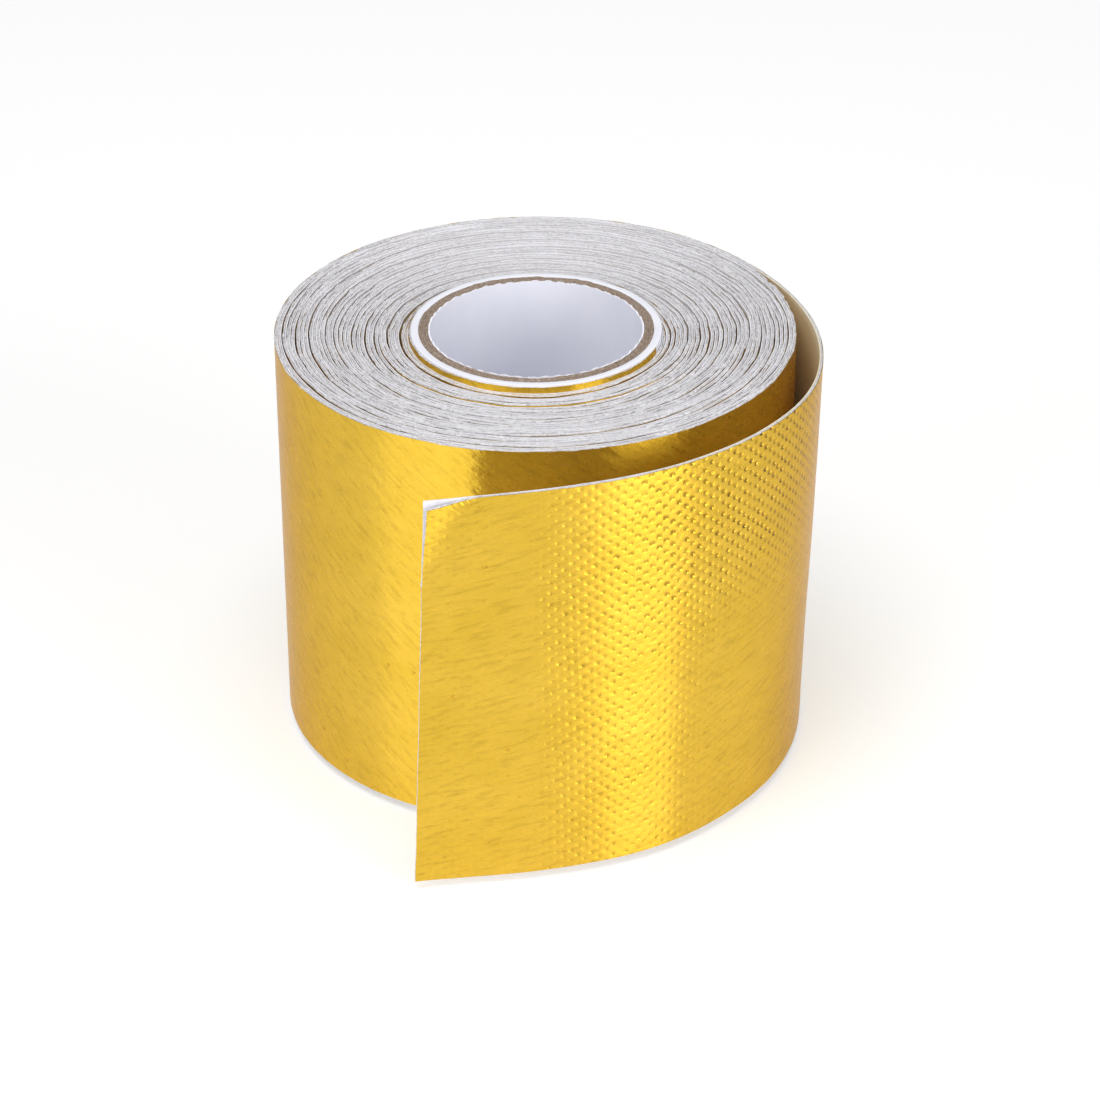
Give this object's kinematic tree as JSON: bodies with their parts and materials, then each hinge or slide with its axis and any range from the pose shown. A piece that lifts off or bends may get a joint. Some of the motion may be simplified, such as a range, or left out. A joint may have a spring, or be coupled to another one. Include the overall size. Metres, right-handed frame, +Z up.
{
  "type": "foil tape roll",
  "caption": "Roll of gold metallised glass-cloth tape on a chipboard core, standing on its end, with a release liner and a loose outer end that uncurls.",
  "frame": {"origin": "on the axis of the core's bore, at the base plane that the roll stands on", "axes": "+Z up along the core's axis; the free end leaves the roll at +X +Y and is cut off in front, towards -Y"},
  "size_m": [0.0652, 0.076, 0.0511],
  "materials": {
    "gold_film": "mirror-bright gold metallised film with a fine woven imprint",
    "glass_cloth": "white woven glass yarn, slightly frayed at the cut edges",
    "release_liner": "smooth white release paper",
    "chipboard": "raw grey-brown chipboard with fibrous cut ends",
    "white_paper": "smooth white paper"
  },
  "bodies": {
    "roll": {"core_lining": "white_paper", "core_inner_ply": "chipboard", "core_middle_ply": "chipboard", "core_outer_ply": "chipboard", "core_sleeve": "white_paper", "wound_film": "gold_film", "wound_cloth": "glass_cloth", "wound_liner": "release_liner", "outer_turn_film": "gold_film", "outer_turn_cloth": "glass_cloth", "outer_turn_liner": "release_liner"},
    "tail_1": {"tail_film_1": "gold_film", "tail_cloth_1": "glass_cloth", "tail_liner_1": "release_liner"},
    "tail_2": {"tail_film_2": "gold_film", "tail_cloth_2": "glass_cloth", "tail_liner_2": "release_liner"},
    "tail_3": {"tail_film_3": "gold_film", "tail_cloth_3": "glass_cloth", "tail_liner_3": "release_liner"},
    "tail_4": {"tail_film_4": "gold_film", "tail_cloth_4": "glass_cloth", "tail_liner_4": "release_liner"},
    "tail_5": {"tail_film_5": "gold_film", "tail_cloth_5": "glass_cloth", "tail_liner_5": "release_liner"},
    "tail_6": {"tail_film_6": "gold_film", "tail_cloth_6": "glass_cloth", "tail_liner_6": "release_liner"},
    "tail_7": {"tail_film_7": "gold_film", "tail_cloth_7": "glass_cloth", "tail_liner_7": "release_liner"},
    "tail_8": {"tail_film_8": "gold_film", "tail_cloth_8": "glass_cloth", "tail_liner_8": "release_liner"},
    "liner_tab": {"liner_tab": "release_liner"},
    "corner": {"corner_film": "gold_film", "corner_cloth": "glass_cloth"}
  },
  "joints": [
    {"name": "free_end_1", "type": "hinge", "parent": "roll", "child": "tail_1", "pos_m": [0.02335, 0.02103, 0.026], "axis": [0, 0, 1], "range_deg": [-1, 8]},
    {"name": "free_end_2", "type": "hinge", "parent": "tail_1", "child": "tail_2", "pos_m": [0.0301, 0.01103, 0.026], "axis": [0, 0, 1], "range_deg": [-2.17, 17.05]},
    {"name": "free_end_3", "type": "hinge", "parent": "tail_2", "child": "tail_3", "pos_m": [0.03362, -0.0005, 0.026], "axis": [0, 0, 1], "range_deg": [-2.42, 19.05]},
    {"name": "free_end_4", "type": "hinge", "parent": "tail_3", "child": "tail_4", "pos_m": [0.0332, -0.01253, 0.026], "axis": [0, 0, 1], "range_deg": [-2.8, 22.05]},
    {"name": "free_end_5", "type": "hinge", "parent": "tail_4", "child": "tail_5", "pos_m": [0.02831, -0.0235, 0.026], "axis": [0, 0, 1], "range_deg": [-2.67, 21.05]},
    {"name": "free_end_6", "type": "hinge", "parent": "tail_5", "child": "tail_6", "pos_m": [0.01979, -0.03202, 0.026], "axis": [0, 0, 1], "range_deg": [-2.17, 17.05]},
    {"name": "free_end_7", "type": "hinge", "parent": "tail_6", "child": "tail_7", "pos_m": [0.00915, -0.03768, 0.026], "axis": [0, 0, 1], "range_deg": [-1.61, 12.55]},
    {"name": "free_end_8", "type": "hinge", "parent": "tail_7", "child": "tail_8", "pos_m": [-0.0025, -0.04091, 0.026], "axis": [0, 0, 1], "range_deg": [-0.68, 5.05]},
    {"name": "liner_peel", "type": "hinge", "parent": "tail_8", "child": "liner_tab", "pos_m": [-0.00661, -0.04126, 0.026], "axis": [0, 0, -1], "range_deg": [0, 40]},
    {"name": "corner_lift", "type": "hinge", "parent": "tail_8", "child": "corner", "pos_m": [-0.00682, -0.04178, 0.051], "axis": [0.4209, 0.0742, 0.9041], "range_deg": [-22, 90]}
  ],
  "couplings": [
    {"joint": "free_end_2", "follows": "free_end_1", "ratio": 2.125},
    {"joint": "free_end_3", "follows": "free_end_1", "ratio": 2.375},
    {"joint": "free_end_4", "follows": "free_end_1", "ratio": 2.75},
    {"joint": "free_end_5", "follows": "free_end_1", "ratio": 2.625},
    {"joint": "free_end_6", "follows": "free_end_1", "ratio": 2.125},
    {"joint": "free_end_7", "follows": "free_end_1", "ratio": 1.5625},
    {"joint": "free_end_8", "follows": "free_end_1", "ratio": 0.625}
  ]
}
